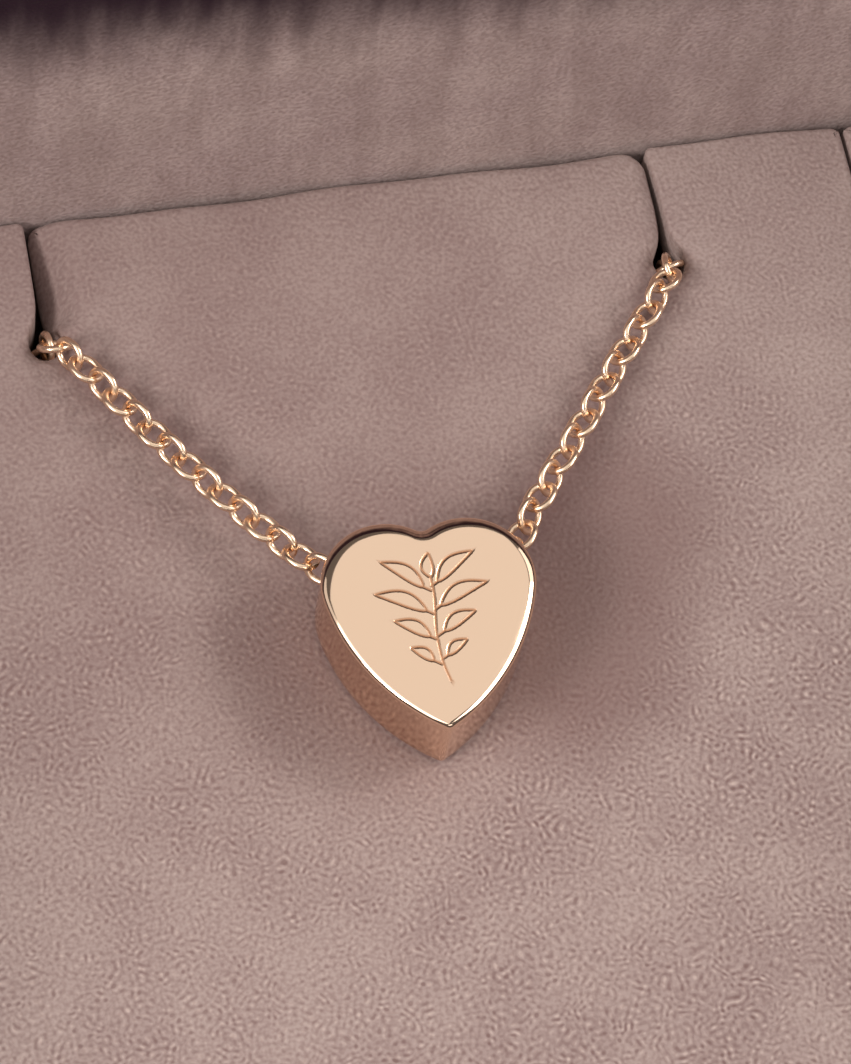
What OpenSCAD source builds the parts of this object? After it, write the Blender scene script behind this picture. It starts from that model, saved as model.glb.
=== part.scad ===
// Heart necklace in an open suede-lined jewellery box.
// Millimetres, +Z up. The origin is at the middle of the box's underside,
// X runs across the box and +Y towards the wall behind the pad's slits.

/* [Heart] */
// Width across both lobes
heart_w = 10.9; // [10:0.1:12]
// Thickness from the back to the face
heart_t = 4.9; // [4:0.1:5.5]
// Radius of each lobe
lobe_r = 3.4; // [3.2:0.1:3.5]
// Height of the lobes' centres above the point where the sides would meet
lobe_h = 8; // [7.6:0.1:8.4]
// Radius of the two long sides
side_r = 11; // [10:0.5:14]
// Radius inside the cleft
cleft_r = 0.6; // [0.4:0.1:0.8]
// Radius of the tip
tip_r = 0.35; // [0.2:0.05:0.5]
// Width of the soft edge round the face
face_roll_w = 0.9; // [0.5:0.1:1]
// Drop of the soft edge round the face
face_roll_h = 0.4; // [0.3:0.05:0.6]
// Radius round the back
back_r = 0.4; // [0.3:0.05:0.5]
// Diameter of the channel that the chain runs through
channel_d = 2.4; // [2.4:0.1:2.8]
// Height of the channel's bend above the point where the sides would meet
channel_h = 8.2; // [8:0.1:8.4]
// Slope of each half of the channel, up towards its mouth
channel_tilt = 20; // [18:1:22]

/* [Where the heart lies] */
// Distance of the tip from the box's middle line
heart_x = -1.1; // [-1.2:0.1:-1]
// Distance of the tip in front of the line through the slits' ends
heart_drop = 26.85; // [26.8:0.05:26.9]
// Turn of the heart about its face's normal
heart_turn = -3.6; // [-4:0.1:-3]

/* [Chain] */
// Outer length of a link, along the chain
link_l = 2.32; // [2.3:0.01:2.35]
// Outer width of a link, across the chain
link_w = 1.8; // [1.75:0.05:1.85]
// Diameter of a link's wire
wire_d = 0.38; // [0.36:0.01:0.4]
// Slack between one link and the next
link_slack = 0.26; // [0.24:0.01:0.28]
// Outer diameter of the spring ring
clasp_d = 5.5; // [5:0.5:6]
// Thickness of the spring ring
clasp_wire = 1.1; // [1:0.1:1.3]

/* [Pad] */
// Side of the square pad
pad_w = 116; // [112:1:120]
// Thickness of the covered board
pad_t = 3; // [2.5:0.5:3.5]
// Height of the pad's upper face above the box's floor
pad_h = 14; // [13:0.5:15]
// Thickness of the skirt that the pad stands on
skirt_t = 2.5; // [2:0.5:3]
// Distance of the chain's slits from the middle line
slit_x = 16.95; // [16.9:0.05:17]
// Distance of the two outer slits from the middle line
outer_slit_x = 28.2; // [27:0.1:30]
// Length of a slit from the pad's edge
slit_l = 6.7; // [6:0.1:7.5]
// Width of a slit at the pad's edge
slit_w = 0.35; // [0.3:0.05:0.5]
// Width of a slit at its inner end
slit_end_w = 0.9; // [0.6:0.1:1.2]
// Diameter of the hole at a slit's end
eyelet_d = 2.8; // [2.7:0.1:3]
// Diameter of that hole's soft mouth
eyelet_mouth_d = 4.8; // [4.7:0.1:5.2]

/* [Box] */
// Thickness of the box's walls
wall_t = 3.5; // [3:0.5:5]
// Thickness of the box's floor
floor_t = 3; // [2:0.5:4]
// Height of the walls above the pad's upper face
wall_over_pad = 28; // [26:1:32]
// Radius of the box's outer corners
corner_r = 4; // [2:0.5:6]
// Gap between the pad and each wall
pad_gap = 0.5; // [0.3:0.1:1]

/* [Hidden] */
eps = 0.01;
seat_gap = 0.1;
inner_w = pad_w + 2 * pad_gap;
outer_w = inner_w + 2 * wall_t;
inner_corner_r = 1;
pad_corner_r = 1.5;
pad_top = floor_t + pad_h;
slit_y = pad_w / 2 - slit_l;
box_h = pad_top + wall_over_pad;
heart_z = pad_top + seat_gap / 2;

// Small helpers for points and directions
function unit(v) = v / norm(v);
function on_circle(c, r, a) = c + r * [cos(a), sin(a)];
function polar_angle(v) = atan2(v.y, v.x);
function blend(a, b, t) = a + (b - a) * t;

// The heart's outline is arcs of circles that touch: cleft, lobe, side and tip.
// All centres stay put while the outline shrinks by an inset, so rings match.
lobe_c = [heart_w / 2 - lobe_r, lobe_h];
cleft_c = [0, lobe_h + sqrt(pow(lobe_r + cleft_r, 2) - pow(lobe_c.x, 2))];
side_gain = side_r - lobe_r;
side_swing = atan2(lobe_c.x, lobe_c.y)
    + asin((pow(side_r, 2) - pow(norm(lobe_c), 2) - pow(side_gain, 2))
           / (2 * side_gain * norm(lobe_c)));
side_c = lobe_c + side_gain * [-cos(side_swing), sin(side_swing)];
min_tip_r = 0.02;
cleft_steps = 5;
lobe_steps = 22;
side_steps = 12;
tip_steps = 3;
cleft_join_a = polar_angle(lobe_c - cleft_c);

function tip_radius(inset) = max(tip_r - inset, min_tip_r);
function tip_centre(inset) = let (reach = side_r - inset - tip_radius(inset))
    [0, side_c.y - sqrt(pow(reach, 2) - pow(side_c.x, 2))];

// Right half of the outline, from just beside the cleft down to the tip
function half_outline(inset) = let (
    tip_c = tip_centre(inset),
    join_a = polar_angle(tip_c - side_c),
    cleft = [for (i = [1:cleft_steps])
        on_circle(cleft_c, cleft_r + inset, blend(-90, cleft_join_a, i / cleft_steps))],
    lobe = [for (i = [1:lobe_steps])
        on_circle(lobe_c, lobe_r - inset,
                  blend(cleft_join_a + 180, -side_swing, i / lobe_steps))],
    side = [for (i = [1:side_steps])
        on_circle(side_c, side_r - inset, blend(-side_swing, join_a, i / side_steps))],
    tip = [for (i = [1:tip_steps - 1])
        on_circle(tip_c, tip_radius(inset), blend(join_a, -90, i / tip_steps))])
    concat(cleft, lobe, side, tip);

// Whole outline, counter-clockwise from the tip
function outline(inset) = let (
    half = half_outline(inset),
    n = len(half),
    tip_y = tip_centre(inset).y - tip_radius(inset),
    cleft_y = cleft_c.y - cleft_r - inset)
    concat([[0, tip_y]],
           [for (i = [n - 1:-1:0]) half[i]],
           [[0, cleft_y]],
           [for (p = half) [-p.x, p.y]]);

// Edge profile from the back to the face, each row [inset, height]
back_steps = 4;
roll_steps = 7;
heart_profile = concat(
    [for (i = [0:back_steps]) let (a = 90 * i / back_steps)
        [back_r * (1 - sin(a)), back_r * (1 - cos(a))]],
    [for (i = [0:roll_steps]) let (a = 90 * i / roll_steps)
        [face_roll_w * (1 - cos(a)), heart_t - face_roll_h * (1 - sin(a))]]);
hub = [0, lobe_h - lobe_r / 2];

module heart_form() {
    rings = [for (row = heart_profile) [for (p = outline(row[0])) [p.x, p.y, row[1]]]];
    n = len(rings[0]);
    last = len(rings) - 1;
    points = concat([for (ring = rings) each ring],
                    [[hub.x, hub.y, 0], [hub.x, hub.y, heart_t]]);
    low_hub = n * (last + 1);
    faces = concat(
        [for (k = [0:last - 1], i = [0:n - 1]) let (j = (i + 1) % n)
            each [[k * n + i, (k + 1) * n + j, k * n + j],
                  [k * n + i, (k + 1) * n + i, (k + 1) * n + j]]],
        [for (i = [0:n - 1]) [low_hub, i, (i + 1) % n]],
        [for (i = [0:n - 1]) [low_hub + 1, last * n + (i + 1) % n, last * n + i]]);
    polyhedron(points = points, faces = faces, convexity = 4);
}

module heart() {
    color("#e8c3a2")
    translate([heart_x, slit_y - heart_drop, heart_z])
    rotate([0, 0, heart_turn])
    difference() {
        heart_form();
        for (side = [-1, 1])
            translate([0, channel_h, heart_t / 2])
            rotate([0, 0, side > 0 ? channel_tilt : 180 - channel_tilt])
            rotate([0, 90, 0])
            translate([0, 0, -channel_d / 4])
            cylinder(h = heart_w, d = channel_d, $fn = 64);
    }
}

// A place in the heart, given from its tip, as seen from the point between
// the slits' ends on the pad's upper face
function in_heart(x, y) = [
    heart_x + x * cos(heart_turn) - y * sin(heart_turn),
    x * sin(heart_turn) + y * cos(heart_turn) - heart_drop,
    heart_z + heart_t / 2 - pad_top];
function channel_point(x) = in_heart(x, channel_h + abs(x) * tan(channel_tilt));

// Middle line of the chain that shows: up through the left slit, straight to
// the heart, through its channel and back down through the right slit.
// Places are measured from the point between the slits' ends, as above.
front_route = concat(
    [[-slit_x, 0, -4.4], [-slit_x, 0, -3], [-slit_x, 0, -1.8], [-16.8, -0.3, -0.65],
     [-16.45, -0.9, 0.4], [-15.7, -2, 1], [-14.4, -4, 1.15], [-11.2, -8.9, 1.45],
     [-8.05, -13.25, 1.9], [-6.2, -15.6, 2.25]],
    [for (x = [-4.6, -2.3]) channel_point(x)],
    [in_heart(0, channel_h + 0.25)],
    [for (x = [2.3, 4.6]) channel_point(x)],
    [[5.4, -15.4, 2.3], [6.9, -13.4, 2.1], [9.3, -10.4, 1.75], [12.2, -6.7, 1.35],
     [14.5, -3.9, 1.15], [15.9, -2.1, 0.95], [16.6, -0.95, 0.35], [16.9, -0.3, -0.65],
     [slit_x, 0, -1.8], [slit_x, 0, -3], [slit_x, 0, -4.4]]);

// Left half of the hidden stretch: down to the floor, out to the side, along it
// and in along the front to the clasp. Heights are measured from the floor.
eye_d = 1.9;
eye_wire = 0.45;
eye_end = clasp_d / 2 + eye_d - eye_wire;
end_gap = 0.3;
side_x = 8 - pad_w / 2;
front_y = 10.7 - pad_w / 2;
run_z = link_w / 2 + seat_gap;
back_route = [
    [-slit_x, slit_y, 9.15], [-slit_x, slit_y, 6.5], [-slit_x - 0.7, slit_y - 0.1, 3.6],
    [-slit_x - 3.6, slit_y - 0.5, 1.6], [-slit_x - 9, slit_y - 1.1, run_z],
    [side_x + 16, slit_y - 1.5, run_z], [side_x + 8, slit_y - 2.7, run_z],
    [side_x + 2.4, slit_y - 7.3, run_z], [side_x + 0.4, slit_y - 15.3, run_z],
    [side_x, slit_y - 27, run_z], [side_x, 8, run_z], [side_x, -8, run_z],
    [side_x, front_y + 26, run_z], [side_x + 0.4, front_y + 14, run_z],
    [side_x + 2.4, front_y + 6, run_z], [side_x + 8, front_y + 1.4, run_z],
    [side_x + 16, front_y + 0.2, run_z], [side_x + 28, front_y, run_z],
    [-12, front_y, run_z], [-eye_end - end_gap, front_y, run_z]];

// A smooth line through a route's points, with its length so far at each point
function curve_point(a, b, c, d, t) =
    ((2 * b) + (c - a) * t + (2 * a - 5 * b + 4 * c - d) * t * t
     + (3 * b - a - 3 * c + d) * t * t * t) / 2;
function smooth(route, steps) = let (last = len(route) - 1)
    [for (k = [0:last - 1], i = [0:steps - 1])
        curve_point(route[max(k - 1, 0)], route[k], route[k + 1],
                    route[min(k + 2, last)], i / steps),
     route[last]];
function lengths(line) =
    [for (i = 0, run = 0; i < len(line);
          run = run + (i + 1 < len(line) ? norm(line[i + 1] - line[i]) : 0), i = i + 1) run];
function tracks(line) = let (run = lengths(line))
    [for (axis = [0:2]) [for (i = [0:len(line) - 1]) [run[i], line[i][axis]]]];
function place_on(track, s) = [for (axis = [0:2]) lookup(s, track[axis])];

// Sideways directions carried along a row of tangents without twist
function carried(tangents, first) =
    [for (i = 0, side = first; i < len(tangents);
          i = i + 1,
          side = i < len(tangents)
              ? unit(side - (side * tangents[i]) * tangents[i]) : side) side];

link_pitch = link_l - 2 * wire_d - link_slack;
front_line = smooth(front_route, 12);
front_track = tracks(front_line);
front_len = lengths(front_line)[len(front_line) - 1];
link_count = floor(front_len / link_pitch);
link_start = (front_len - (link_count - 1) * link_pitch) / 2;
link_s = [for (i = [0:link_count - 1]) link_start + i * link_pitch];
link_t = [for (s = link_s)
    unit(place_on(front_track, s + link_pitch / 2) - place_on(front_track, s - link_pitch / 2))];
link_up = carried(link_t, unit([-0.54, 0.84, 0]));

// Each link stands square to the next, and the row twists a little by its end
function link_roll(i) =
    (i % 2 == 0 ? 45 : -45) + lookup(i / (link_count - 1), [[0.37, 20], [0.6, 10]]);

module ring(outer_d, wire, sides = 60) {
    rotate_extrude($fn = sides)
    translate([(outer_d - wire) / 2, 0])
    circle(d = wire, $fn = sides);
}

// A slightly long link: two half rings joined by two straight pieces of wire
module link() {
    straight = link_l - link_w;
    for (end = [0, 180])
        rotate([0, 0, end]) {
            translate([straight / 2, 0, 0])
            rotate([0, 0, -90])
            rotate_extrude(angle = 180, $fn = 60)
            translate([(link_w - wire_d) / 2, 0])
            circle(d = wire_d, $fn = 60);

            translate([-straight / 2, (link_w - wire_d) / 2, 0])
            rotate([0, 90, 0])
            cylinder(h = straight, d = wire_d, $fn = 60);
        }
}

// Puts a child's X along a direction and its Z along another
module aligned(place, along, normal) {
    across = cross(normal, along);
    multmatrix([[along.x, across.x, normal.x, place.x],
                [along.y, across.y, normal.y, place.y],
                [along.z, across.z, normal.z, place.z],
                [0, 0, 0, 1]])
    children();
}

module chain_front() {
    color("#e6bd97")
    translate([0, slit_y, pad_top])
    for (i = [0:link_count - 1]) {
        roll = link_roll(i);
        across = cross(link_t[i], link_up[i]);
        aligned(place_on(front_track, link_s[i]), link_t[i],
                link_up[i] * cos(roll) + across * sin(roll))
        link();
    }
}

tube_sides = 8;
tube_step = 5;

module tube(route) {
    line = smooth(route, 8);
    track = tracks(line);
    total = lengths(line)[len(line) - 1];
    rings = round(total / tube_step);
    s = [for (i = [0:rings]) total * i / rings];
    t = [for (i = [0:rings])
        unit(place_on(track, min(s[i] + 1, total)) - place_on(track, max(s[i] - 1, 0)))];
    up = carried(t, [0, 1, 0]);
    points = [for (i = [0:rings], k = [0:tube_sides - 1])
        let (a = 360 * k / tube_sides)
        place_on(track, s[i])
            + (up[i] * cos(a) + cross(t[i], up[i]) * sin(a)) * link_w / 2];
    n = tube_sides;
    faces = concat(
        [for (i = [0:rings - 1], k = [0:n - 1]) let (m = (k + 1) % n)
            each [[i * n + k, (i + 1) * n + m, i * n + m],
                  [i * n + k, (i + 1) * n + k, (i + 1) * n + m]]],
        [[for (k = [0:n - 1]) k]],
        [[for (k = [n - 1:-1:0]) rings * n + k]]);
    polyhedron(points = points, faces = faces, convexity = 6);
}

module chain_back() {
    color("#e6bd97")
    translate([0, 0, floor_t])
    for (side = [0, 1])
        mirror([side, 0, 0])
        tube(back_route);
}

// A spring ring with an eye soldered to each side
module clasp() {
    color("#e8c3a2")
    translate([0, front_y, floor_t + clasp_wire / 2 + seat_gap]) {
        ring(clasp_d, clasp_wire);
        for (side = [-1, 1])
            translate([side * (clasp_d / 2 + eye_d / 2 - eye_wire), 0, 0])
            ring(eye_d, eye_wire);
    }
}

// Square with round corners, made of exact arcs
module round_square(w, r) {
    square([w - 2 * r, w], center = true);
    square([w, w - 2 * r], center = true);
    for (x = [-1, 1], y = [-1, 1])
        translate([x, y] * (w / 2 - r))
        circle(r = r, $fn = 48);
}

module slit_cut(end_w) {
    translate([0, 0, -pad_t - eps])
    linear_extrude(pad_t + 2 * eps)
    polygon([[-slit_w / 2, eps], [-end_w / 2, -slit_l], [end_w / 2, -slit_l], [slit_w / 2, eps]]);
}

module eyelet_cut() {
    mouth_h = (eyelet_mouth_d - eyelet_d) / 2;
    translate([0, -slit_l, 0]) {
        translate([0, 0, -pad_t - eps])
        cylinder(h = pad_t + 2 * eps, d = eyelet_d, $fn = 64);
        translate([0, 0, -mouth_h])
        cylinder(h = mouth_h + eps, d1 = eyelet_d, d2 = eyelet_mouth_d + 2 * eps, $fn = 64);
    }
}

// A covered board on a skirt, open underneath, slit at its back edge
module pad() {
    skirt_h = pad_h - seat_gap;
    color("#8d7270")
    difference() {
        translate([0, 0, pad_top - skirt_h])
        linear_extrude(skirt_h)
        round_square(pad_w, pad_corner_r);
        translate([0, 0, pad_top - skirt_h - eps])
        linear_extrude(skirt_h - pad_t + eps)
        round_square(pad_w - 2 * skirt_t, pad_corner_r);
        for (x = [-slit_x, slit_x])
            translate([x, pad_w / 2, pad_top]) {
                slit_cut(slit_end_w);
                eyelet_cut();
            }
        for (x = [-outer_slit_x, outer_slit_x])
            translate([x, pad_w / 2, pad_top])
            slit_cut(slit_w);
    }
}

module box() {
    color("#a08a82")
    difference() {
        linear_extrude(box_h)
        round_square(outer_w, corner_r);
        translate([0, 0, floor_t])
        linear_extrude(box_h)
        round_square(inner_w, inner_corner_r);
    }
}

heart();
chain_front();
chain_back();
clasp();
pad();
box();
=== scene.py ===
import math

import bpy
import numpy as np
from mathutils import Matrix, Vector
from mathutils.geometry import delaunay_2d_cdt


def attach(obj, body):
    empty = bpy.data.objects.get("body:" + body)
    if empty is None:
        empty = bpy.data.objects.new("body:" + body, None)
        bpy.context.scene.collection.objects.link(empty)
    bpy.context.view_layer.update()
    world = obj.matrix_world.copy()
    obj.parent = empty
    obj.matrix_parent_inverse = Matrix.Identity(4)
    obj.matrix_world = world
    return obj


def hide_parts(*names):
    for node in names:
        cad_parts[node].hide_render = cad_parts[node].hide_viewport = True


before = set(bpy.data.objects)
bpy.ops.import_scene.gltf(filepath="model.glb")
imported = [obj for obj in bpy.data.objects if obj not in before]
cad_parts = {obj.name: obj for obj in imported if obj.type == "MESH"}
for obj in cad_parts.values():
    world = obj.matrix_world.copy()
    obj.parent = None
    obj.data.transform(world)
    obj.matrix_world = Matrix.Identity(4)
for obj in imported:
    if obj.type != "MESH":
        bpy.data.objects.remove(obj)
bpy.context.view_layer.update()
MM = 0.001

# Camera and table top
# The camera looks down into the open box from the front left, rolled a little, as the
# photo was taken. It aims at a point on the pad between the heart and the slits.
CAMERA_AIM = Vector((0.645, 37.245, 17)) * MM
CAMERA_AZIMUTH, CAMERA_ELEVATION, CAMERA_ROLL = -22.99, 64, 13
CAMERA_DISTANCE = 200 * MM
CAMERA_LENS = 131.13

camera_turn = (Matrix.Rotation(math.radians(CAMERA_AZIMUTH), 4, "Z")
               @ Matrix.Rotation(math.radians(90 - CAMERA_ELEVATION), 4, "X"))
camera_back = camera_turn @ Vector((0, 0, 1))
camera_data = bpy.data.cameras.new("camera")
camera_data.lens = CAMERA_LENS
camera_data.sensor_width = 36
camera_data.clip_start = 10 * MM
camera = bpy.data.objects.new("camera", camera_data)
bpy.context.scene.collection.objects.link(camera)
camera.matrix_world = (Matrix.Translation(CAMERA_AIM + CAMERA_DISTANCE * camera_back)
                       @ camera_turn @ Matrix.Rotation(math.radians(CAMERA_ROLL), 4, "Z"))
bpy.context.scene.camera = camera


def linear(hex_colour):
    """Turns an sRGB hex colour into the linear one that a socket takes."""
    parts = [int(hex_colour[i:i + 2], 16) / 255 for i in (1, 3, 5)]
    return [p / 12.92 if p <= 0.04045 else ((p + 0.055) / 1.055) ** 2.4 for p in parts] + [1]


def add_node(tree, kind, settings, inputs):
    """Adds one node. An input that is given a socket is linked, and any other is set."""
    node = tree.nodes.new(kind)
    for name, value in settings.items():
        setattr(node, name, value)
    sockets = {socket.identifier: socket for socket in node.inputs}
    for name, value in inputs.items():
        if isinstance(value, bpy.types.NodeSocket):
            tree.links.new(value, sockets[name])
        else:
            sockets[name].default_value = value
    return node


def add_mesh(name, points, faces, materials, smooth=True):
    """Makes an object of points in millimetres, and puts it in the scene."""
    mesh = bpy.data.meshes.new(name)
    mesh.from_pydata([Vector(p) * MM for p in points], [], faces)
    mesh.shade_smooth() if smooth else mesh.shade_flat()
    for material in materials:
        mesh.materials.append(material)
    piece = bpy.data.objects.new(name, mesh)
    bpy.context.scene.collection.objects.link(piece)
    return piece


def bridge(rings, closed_ends=(True, True)):
    """Joins rings of equally many points with quads, each ring after the one before."""
    count = len(rings[0])
    faces = [(k * count + i, k * count + (i + 1) % count,
              (k + 1) * count + (i + 1) % count, (k + 1) * count + i)
             for k in range(len(rings) - 1) for i in range(count)]
    if closed_ends[0]:
        faces.append(tuple(reversed(range(count))))
    if closed_ends[1]:
        faces.append(tuple(range((len(rings) - 1) * count, len(rings) * count)))
    return faces


table_paint = bpy.data.materials.new("matt white table top")
table_paint.use_nodes = True
table_paint.node_tree.nodes["Principled BSDF"].inputs["Base Color"].default_value = linear("#E6E0DA")
table_paint.node_tree.nodes["Principled BSDF"].inputs["Roughness"].default_value = 0.7
TABLE_HALF, TABLE_DROP = 900, 0.02
table = add_mesh("table", [(x * TABLE_HALF, y * TABLE_HALF, -TABLE_DROP)
                           for x, y in ((-1, -1), (1, -1), (1, 1), (-1, 1))],
                 [(0, 1, 2, 3)], [table_paint])

# Box
# A square jewellery box of stiff board. Its inside is lined with brushed microfibre
# suede, glued down, and a plum cover is turned over the rim and wraps the outside.
BOX_W, BOX_H, BOX_CORNER = 124, 45, 4
INNER_W, INNER_CORNER = 117, 1
BOX_FLOOR = 3
RIM_ROUND = 1.2
FOOT_ROUND = 0.7
PAD_TOP = 17
# the shade painted near the lining's rim begins a little above this height
RIM_SHADE_START = 28.5


def suede(name, light, middle, dark, nap, upright=False, top=None, painted_shadows=()):
    """Microfibre suede, cut and brushed: matt, a little cloudy, with short curled fibres.

    nap says how strongly the curls show at the front and at the back. top is the colour of the shade
    painted near the rim. The marks listed last are painted shadows: both ends of each in millimetres,
    how far it reaches, how deep.
    """
    material = bpy.data.materials.new(name)
    material.use_nodes = True
    tree = material.node_tree
    place = add_node(tree, "ShaderNodeTexCoord", {}, {}).outputs["Object"]
    sheet = place
    axes = add_node(tree, "ShaderNodeSeparateXYZ", {}, {"Vector": place})
    if upright:
        # glued to walls, the sheet runs round the box and up, not flat
        around = add_node(tree, "ShaderNodeMath", {"operation": "ADD"},
                          {"Value": axes.outputs["X"], "Value_001": axes.outputs["Y"]})
        sheet = add_node(tree, "ShaderNodeCombineXYZ", {},
                         {"X": around.outputs["Value"], "Y": axes.outputs["Z"]}).outputs["Vector"]
    # the sheet was crushed and brushed, which bends its fibres this way and that
    crush = add_node(tree, "ShaderNodeTexNoise", {},
                     {"Vector": place, "Scale": 1 / (1.3 * MM), "Detail": 0.0})
    crushed = add_node(tree, "ShaderNodeVectorMath", {"operation": "SCALE"},
                       {"Vector": crush.outputs["Color"], "Scale": 0.6 * MM})
    bent = add_node(tree, "ShaderNodeVectorMath", {"operation": "ADD"},
                    {"Vector": sheet, "Vector_001": crushed.outputs["Vector"]})
    # fibres lie in curls 0.4 to 1 mm long, 0.4 mm apart: a little larger than real
    curls = add_node(tree, "ShaderNodeTexGabor", {"gabor_type": "2D"},
                     {"Vector": bent.outputs["Vector"], "Scale": 1 / (0.8 * MM), "Frequency": 2.0,
                      "Anisotropy": 0.0})
    # loose fibre ends stand up between the curls
    fluff = add_node(tree, "ShaderNodeTexNoise", {},
                     {"Vector": place, "Scale": 1 / (0.2 * MM), "Detail": 0.0})
    # the nap lies this way and that over 3 to 9 mm
    clouds = add_node(tree, "ShaderNodeTexNoise", {},
                      {"Vector": place, "Scale": 1 / (7 * MM), "Detail": 2.0, "Roughness": 0.6})
    cloud_mask = add_node(tree, "ShaderNodeMapRange", {"interpolation_type": "SMOOTHSTEP"},
                          {"Value": clouds.outputs["Fac"], "From Min": 0.32, "From Max": 0.68})
    ground = add_node(tree, "ShaderNodeMix", {"data_type": "RGBA"},
                      {"Factor_Float": cloud_mask.outputs["Result"],
                       "A_Color": linear(middle), "B_Color": linear(light)})
    # the nap stands up most at the front, and is brushed flatter towards the back
    stand = add_node(tree, "ShaderNodeMapRange", {},
                     {"Value": axes.outputs["Y"], "From Min": 28 * MM, "From Max": 52 * MM,
                      "To Min": nap[0], "To Max": nap[1]})
    ruffled = add_node(tree, "ShaderNodeMapRange", {},
                       {"Value": clouds.outputs["Fac"], "From Min": 0.7, "From Max": 0.3,
                        "To Min": 0.5, "To Max": 1.0})
    shown = add_node(tree, "ShaderNodeMath", {"operation": "MULTIPLY"},
                     {"Value": stand.outputs["Result"], "Value_001": ruffled.outputs["Result"]})
    curl_mask = add_node(tree, "ShaderNodeMapRange", {},
                         {"Value": curls.outputs["Value"], "From Min": 0.5, "From Max": 0.24,
                          "To Max": shown.outputs["Value"]})
    fibres = add_node(tree, "ShaderNodeMix", {"data_type": "RGBA"},
                      {"Factor_Float": curl_mask.outputs["Result"],
                       "A_Color": ground.outputs["Result"], "B_Color": linear(dark)})
    tip_mask = add_node(tree, "ShaderNodeMapRange", {},
                        {"Value": curls.outputs["Value"], "From Min": 0.56, "From Max": 0.85,
                         "To Max": shown.outputs["Value"]})
    tips = add_node(tree, "ShaderNodeMix", {"data_type": "RGBA"},
                    {"Factor_Float": tip_mask.outputs["Result"],
                     "A_Color": fibres.outputs["Result"], "B_Color": linear("#C9B6AF")})
    fluff_mask = add_node(tree, "ShaderNodeMapRange", {},
                          {"Value": fluff.outputs["Fac"], "From Min": 0.62, "From Max": 0.3,
                           "To Max": 0.3})
    colour = add_node(tree, "ShaderNodeMix", {"data_type": "RGBA"},
                      {"Factor_Float": fluff_mask.outputs["Result"],
                       "A_Color": tips.outputs["Result"], "B_Color": linear(dark)})
    for one_end, other_end, reach, amount in painted_shadows:
        # painted shadow: each mark darkens the suede towards the dark colour along a line, fading out
        # over its reach, in place of a soft cast shadow
        run = Vector(other_end) - Vector(one_end)
        from_end = add_node(tree, "ShaderNodeVectorMath", {"operation": "SUBTRACT"},
                            {"Vector": place, "Vector_001": Vector(one_end) * MM})
        share = add_node(tree, "ShaderNodeVectorMath", {"operation": "DOT_PRODUCT"},
                         {"Vector": from_end.outputs["Vector"],
                          "Vector_001": run / (max(run.length_squared, 1) * MM)})
        share = add_node(tree, "ShaderNodeClamp", {}, {"Value": share.outputs["Value"]})
        nearest = add_node(tree, "ShaderNodeVectorMath", {"operation": "SCALE"},
                           {"Vector": run * MM, "Scale": share.outputs["Result"]})
        away = add_node(tree, "ShaderNodeVectorMath", {"operation": "DISTANCE"},
                        {"Vector": from_end.outputs["Vector"], "Vector_001": nearest.outputs["Vector"]})
        painted_shadow_mask = add_node(tree, "ShaderNodeMapRange", {"interpolation_type": "SMOOTHSTEP"},
                             {"Value": away.outputs["Value"], "From Min": reach * MM,
                              "From Max": reach / 4 * MM, "To Max": amount})
        colour = add_node(tree, "ShaderNodeMix", {"data_type": "RGBA"},
                          {"Factor_Float": painted_shadow_mask.outputs["Result"],
                           "A_Color": colour.outputs["Result"], "B_Color": linear(dark)})
    shader = tree.nodes["Principled BSDF"]
    shader.inputs["Sheen Weight"].default_value = 0.25
    if top:
        # painted shade: towards the rim the lining is darkened to the top colour and its sheen fades
        # out, in place of shadow there, with a ragged edge in upright streaks that also vary its tone
        stretched = add_node(tree, "ShaderNodeVectorMath", {"operation": "MULTIPLY"},
                             {"Vector": sheet, "Vector_001": (1.0, 0.22, 0.0)})
        streaks = add_node(tree, "ShaderNodeTexNoise", {"noise_dimensions": "2D"},
                           {"Vector": stretched.outputs["Vector"], "Scale": 1 / (2 * MM),
                            "Detail": 2.0, "Roughness": 0.6})
        height = add_node(tree, "ShaderNodeMath", {"operation": "MULTIPLY_ADD"},
                          {"Value": streaks.outputs["Fac"], "Value_001": 4 * MM,
                           "Value_002": axes.outputs["Z"]})
        shade = add_node(tree, "ShaderNodeMapRange", {"interpolation_type": "SMOOTHSTEP"},
                         {"Value": height.outputs["Value"], "From Min": (RIM_SHADE_START + 2) * MM,
                          "From Max": (RIM_SHADE_START + 11) * MM})
        rubbed = add_node(tree, "ShaderNodeMapRange", {},
                          {"Value": streaks.outputs["Fac"], "From Min": 0.35, "From Max": 0.7,
                           "To Max": 0.3})
        colour = add_node(tree, "ShaderNodeMix", {"data_type": "RGBA"},
                          {"Factor_Float": rubbed.outputs["Result"],
                           "A_Color": colour.outputs["Result"], "B_Color": linear(dark)})
        colour = add_node(tree, "ShaderNodeMix", {"data_type": "RGBA"},
                          {"Factor_Float": shade.outputs["Result"],
                           "A_Color": colour.outputs["Result"], "B_Color": linear(top)})
        soft = add_node(tree, "ShaderNodeMapRange", {},
                        {"Value": shade.outputs["Result"], "To Min": 0.25, "To Max": 0.03})
        tree.links.new(soft.outputs["Result"], shader.inputs["Sheen Weight"])
    bump = add_node(tree, "ShaderNodeBump", {},
                    {"Height": fluff.outputs["Fac"], "Strength": 0.6, "Distance": 0.08 * MM})
    shader.inputs["Roughness"].default_value = 0.92
    shader.inputs["Specular IOR Level"].default_value = 0.2
    shader.inputs["Sheen Roughness"].default_value = 0.45
    shader.inputs["Sheen Tint"].default_value = linear("#E8D6CC")
    tree.links.new(colour.outputs["Result"], shader.inputs["Base Color"])
    tree.links.new(bump.outputs["Normal"], shader.inputs["Normal"])
    return material


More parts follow.
